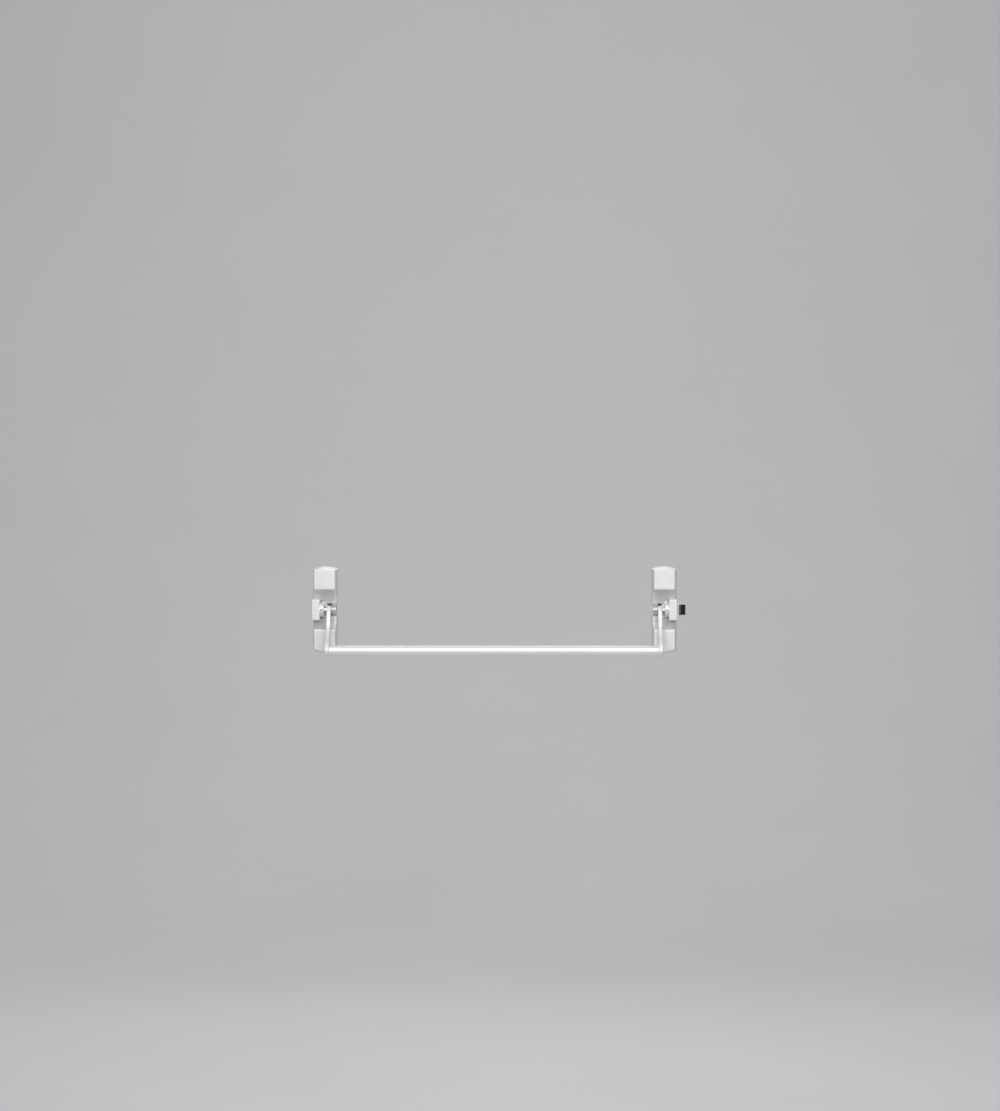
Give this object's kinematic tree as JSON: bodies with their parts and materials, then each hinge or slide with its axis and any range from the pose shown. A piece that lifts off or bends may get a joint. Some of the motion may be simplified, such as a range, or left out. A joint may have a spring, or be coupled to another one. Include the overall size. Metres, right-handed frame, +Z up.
{
  "type": "panic exit bar",
  "caption": "surface-mounted panic exit device: round push bar on two pivoting arms between two end cases, with a sliding latch bolt worked by the active arm",
  "frame": {"origin": "midway between the two end cases on the door face, at the height of the arms' pivots", "axes": "+X along the bar towards the latch, +Y through the door away from the room, +Z up"},
  "size_m": [0.895, 0.1101, 0.2139],
  "materials": {
    "silver": "fine silver paint, satin",
    "silver_bar": "silver painted tube, satin",
    "plated_steel": "zinc plated",
    "zinc_casting": "as-cast zinc alloy",
    "bronze": "sintered bronze",
    "spring_steel": "oiled spring wire",
    "rubber": "matt",
    "blacked_steel": "black, satin"
  },
  "bodies": {
    "cases": {"active_base_plate": "plated_steel", "active_bearing_block": "silver", "active_inner_bearing": "zinc_casting", "active_bushes": "bronze", "active_spring_cup": "silver", "active_return_spring": "spring_steel", "active_buffers": "rubber", "active_upper_cover": "silver", "active_lower_cover": "silver", "active_cover_screws": "plated_steel", "active_chassis_screws": "plated_steel", "passive_base_plate": "plated_steel", "passive_bearing_block": "silver", "passive_inner_bearing": "zinc_casting", "passive_bushes": "bronze", "passive_spring_cup": "silver", "passive_return_spring": "spring_steel", "passive_buffers": "rubber", "passive_upper_cover": "silver", "passive_lower_cover": "silver", "passive_cover_screws": "plated_steel", "passive_chassis_screws": "plated_steel", "slide_posts": "plated_steel", "spring_rod": "plated_steel", "slide_spring": "spring_steel", "latch_guide": "zinc_casting", "latch_guide_screws": "plated_steel"},
    "push_bar": {"cross_bar": "silver_bar", "bar_set_screws": "blacked_steel", "active_axle": "plated_steel", "active_axle_clip": "plated_steel", "active_arm": "silver", "passive_axle": "plated_steel", "passive_axle_clip": "plated_steel", "passive_arm": "silver"},
    "latch_slide_body": {"latch_slide": "plated_steel"},
    "latch_bolt_body": {"latch_bolt": "blacked_steel", "latch_pin": "plated_steel"}
  },
  "joints": [
    {"name": "bar_push", "type": "hinge", "parent": "cases", "child": "push_bar", "pos_m": [0, -0.034, 0], "axis": [1, 0, 0], "range_deg": [0, 20], "stiffness_Nm_per_rad": 3, "springref_deg": -28.65, "deforming": ["active_return_spring", "passive_return_spring"]},
    {"name": "slide_lift", "type": "slide", "parent": "cases", "child": "latch_slide_body", "axis": [0, 0, 1], "range_m": [0, 0.00891], "stiffness_N_per_m": 1200, "springref_m": -0.006, "deforming": ["slide_spring"]},
    {"name": "latch_draw", "type": "slide", "parent": "cases", "child": "latch_bolt_body", "axis": [-1, 0, 0], "range_m": [0, 0.0141]}
  ],
  "couplings": [
    {"joint": "slide_lift", "follows": "bar_push", "m_per_rad": 0.025371},
    {"joint": "latch_draw", "follows": "bar_push", "m_per_rad": 0.040107}
  ]
}
